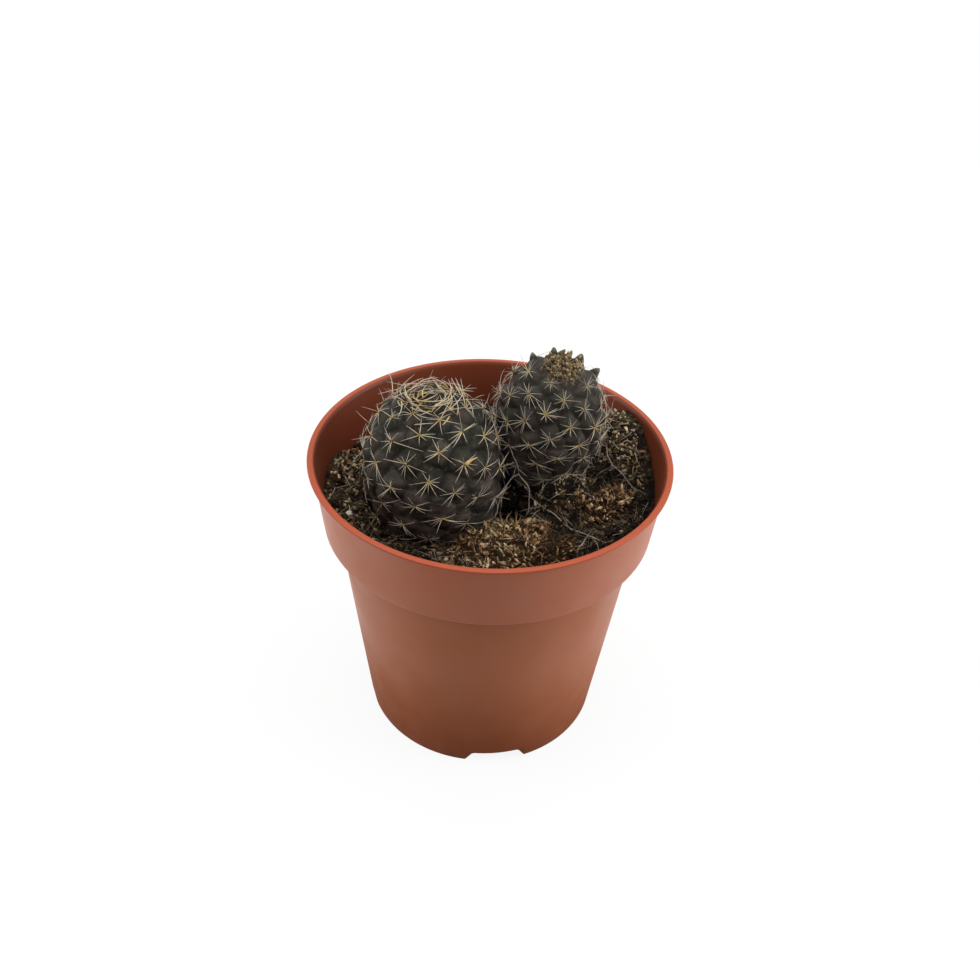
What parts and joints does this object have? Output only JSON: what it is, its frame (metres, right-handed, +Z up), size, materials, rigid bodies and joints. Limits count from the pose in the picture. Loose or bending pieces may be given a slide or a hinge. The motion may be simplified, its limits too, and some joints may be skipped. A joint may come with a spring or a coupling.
{
  "type": "potted cactus",
  "caption": "Two globular spiny cactus stems growing side by side in potting mix, in a tapered plastic nursery pot with a stepped collar and drainage holes.",
  "frame": {"origin": "on the pot's axis, on the plane the pot stands on", "axes": "+Z up along the pot's axis; -Y the front, with the lower and wider stem on -X and the taller stem on +X"},
  "size_m": [0.085, 0.085, 0.0956],
  "materials": {
    "pot_plastic": "satin, translucent orange-brown",
    "potting_mix": "crumbly, matte",
    "cactus_skin": "waxy, dull green-grey",
    "dry_moss": "fibrous, matte",
    "perlite": "chalky, matte",
    "bark": "rough, matte",
    "dry_fibre": "dry, matte"
  },
  "bodies": {
    "root": {"pot": "pot_plastic", "potting_mix": "potting_mix", "cactus_left": "cactus_skin", "cactus_right": "cactus_skin", "moss_clump_front": "dry_moss", "moss_clump_right": "dry_moss", "perlite_grain": "perlite", "bark_chip": "bark", "root_fibre": "dry_fibre", "straw_front": "dry_fibre", "straw_right": "dry_fibre"}
  },
  "joints": []
}
